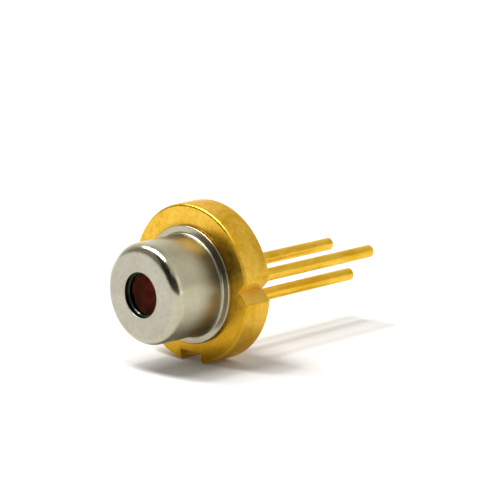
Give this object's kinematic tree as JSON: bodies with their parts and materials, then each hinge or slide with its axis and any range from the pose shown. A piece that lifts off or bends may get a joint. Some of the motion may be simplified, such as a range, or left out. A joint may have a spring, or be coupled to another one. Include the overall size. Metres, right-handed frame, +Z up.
{
  "type": "laser diode",
  "caption": "Laser diode in a sealed 5.6 mm metal can: a notched round stem, a welded cap with a round window in its top, and straight wire leads behind.",
  "frame": {"origin": "centre of the stem's front face, the reference plane of the package, on the optical axis", "axes": "-Y along the beam, out of the window; +Y along the leads; +Z up, away from the rectangular notch in the stem's rim; the part stands on its rim beside that notch, with the optical axis level"},
  "size_m": [0.0056, 0.0105, 0.0056],
  "materials": {
    "gold_plating": "satin gold plating over steel",
    "nickel_plating": "satin nickel plating over steel",
    "window_glass": "clear, coated against reflections",
    "solder_glass": "dark glossy solder glass",
    "bead_glass": "dark glossy sealing glass",
    "block_copper": "gold plated copper",
    "silver_braze": "smooth braze",
    "gold_tin_solder": "smooth gold tin solder",
    "aluminium_nitride": "fine matt ceramic",
    "laser_crystal": "polished semiconductor with gold on one face",
    "silicon": "polished silicon",
    "silver_epoxy": "matt silver-filled epoxy",
    "gold_wire": "bright drawn gold"
  },
  "bodies": {
    "root": {"stem": "gold_plating", "laser_lead": "gold_plating", "monitor_lead": "gold_plating", "common_lead": "gold_plating", "laser_lead_seal": "bead_glass", "monitor_lead_seal": "bead_glass", "common_lead_braze": "silver_braze", "cap": "nickel_plating", "window": "window_glass", "window_seal": "solder_glass", "heat_sink_block": "block_copper", "heat_sink_braze": "silver_braze", "submount": "aluminium_nitride", "submount_solder": "gold_tin_solder", "laser_chip": "laser_crystal", "laser_chip_solder": "gold_tin_solder", "photodiode": "silicon", "photodiode_epoxy": "silver_epoxy", "laser_wire": "gold_wire", "submount_wire": "gold_wire", "monitor_wire": "gold_wire"}
  },
  "joints": []
}
